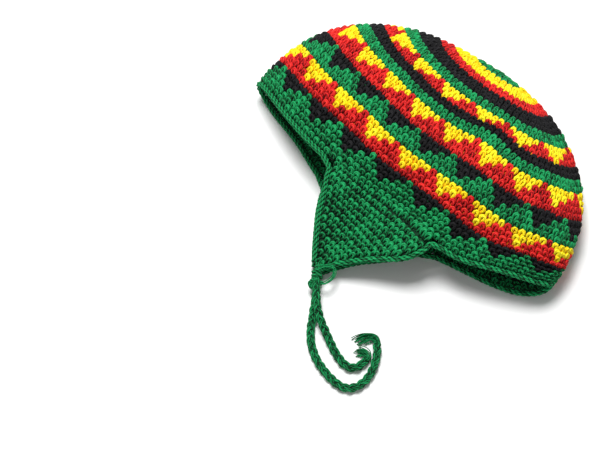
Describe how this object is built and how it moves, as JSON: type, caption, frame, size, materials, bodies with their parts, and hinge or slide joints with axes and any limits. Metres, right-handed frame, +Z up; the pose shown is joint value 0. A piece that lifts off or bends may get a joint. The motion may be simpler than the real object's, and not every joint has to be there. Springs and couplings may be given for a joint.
{
  "type": "chullo",
  "caption": "Crocheted chullo cap with patterned rounds, two plain ear flaps and braided ties, lying on its side.",
  "frame": {"origin": "on the surface that the hat lies on, under the middle of its box without the ties", "axes": "+Z up, +X along the brim from fold to fold, +Y from the opening towards the crown's centre"},
  "size_m": [0.2548, 0.2604, 0.0528],
  "materials": {
    "patterned_crochet": "matte",
    "green_crochet": "matte",
    "green_yarn": "matte"
  },
  "bodies": {
    "root": {"crown": "patterned_crochet", "ear_flap_upper": "green_crochet", "ear_flap_lower": "green_crochet", "edging_right": "green_crochet", "edging_left": "green_crochet", "tie_knot_upper": "green_yarn", "tie_knot_lower": "green_yarn", "tie_upper": "green_yarn", "tie_lower": "green_yarn", "tie_tassel_upper": "green_yarn", "tie_tassel_lower": "green_yarn"}
  },
  "joints": []
}
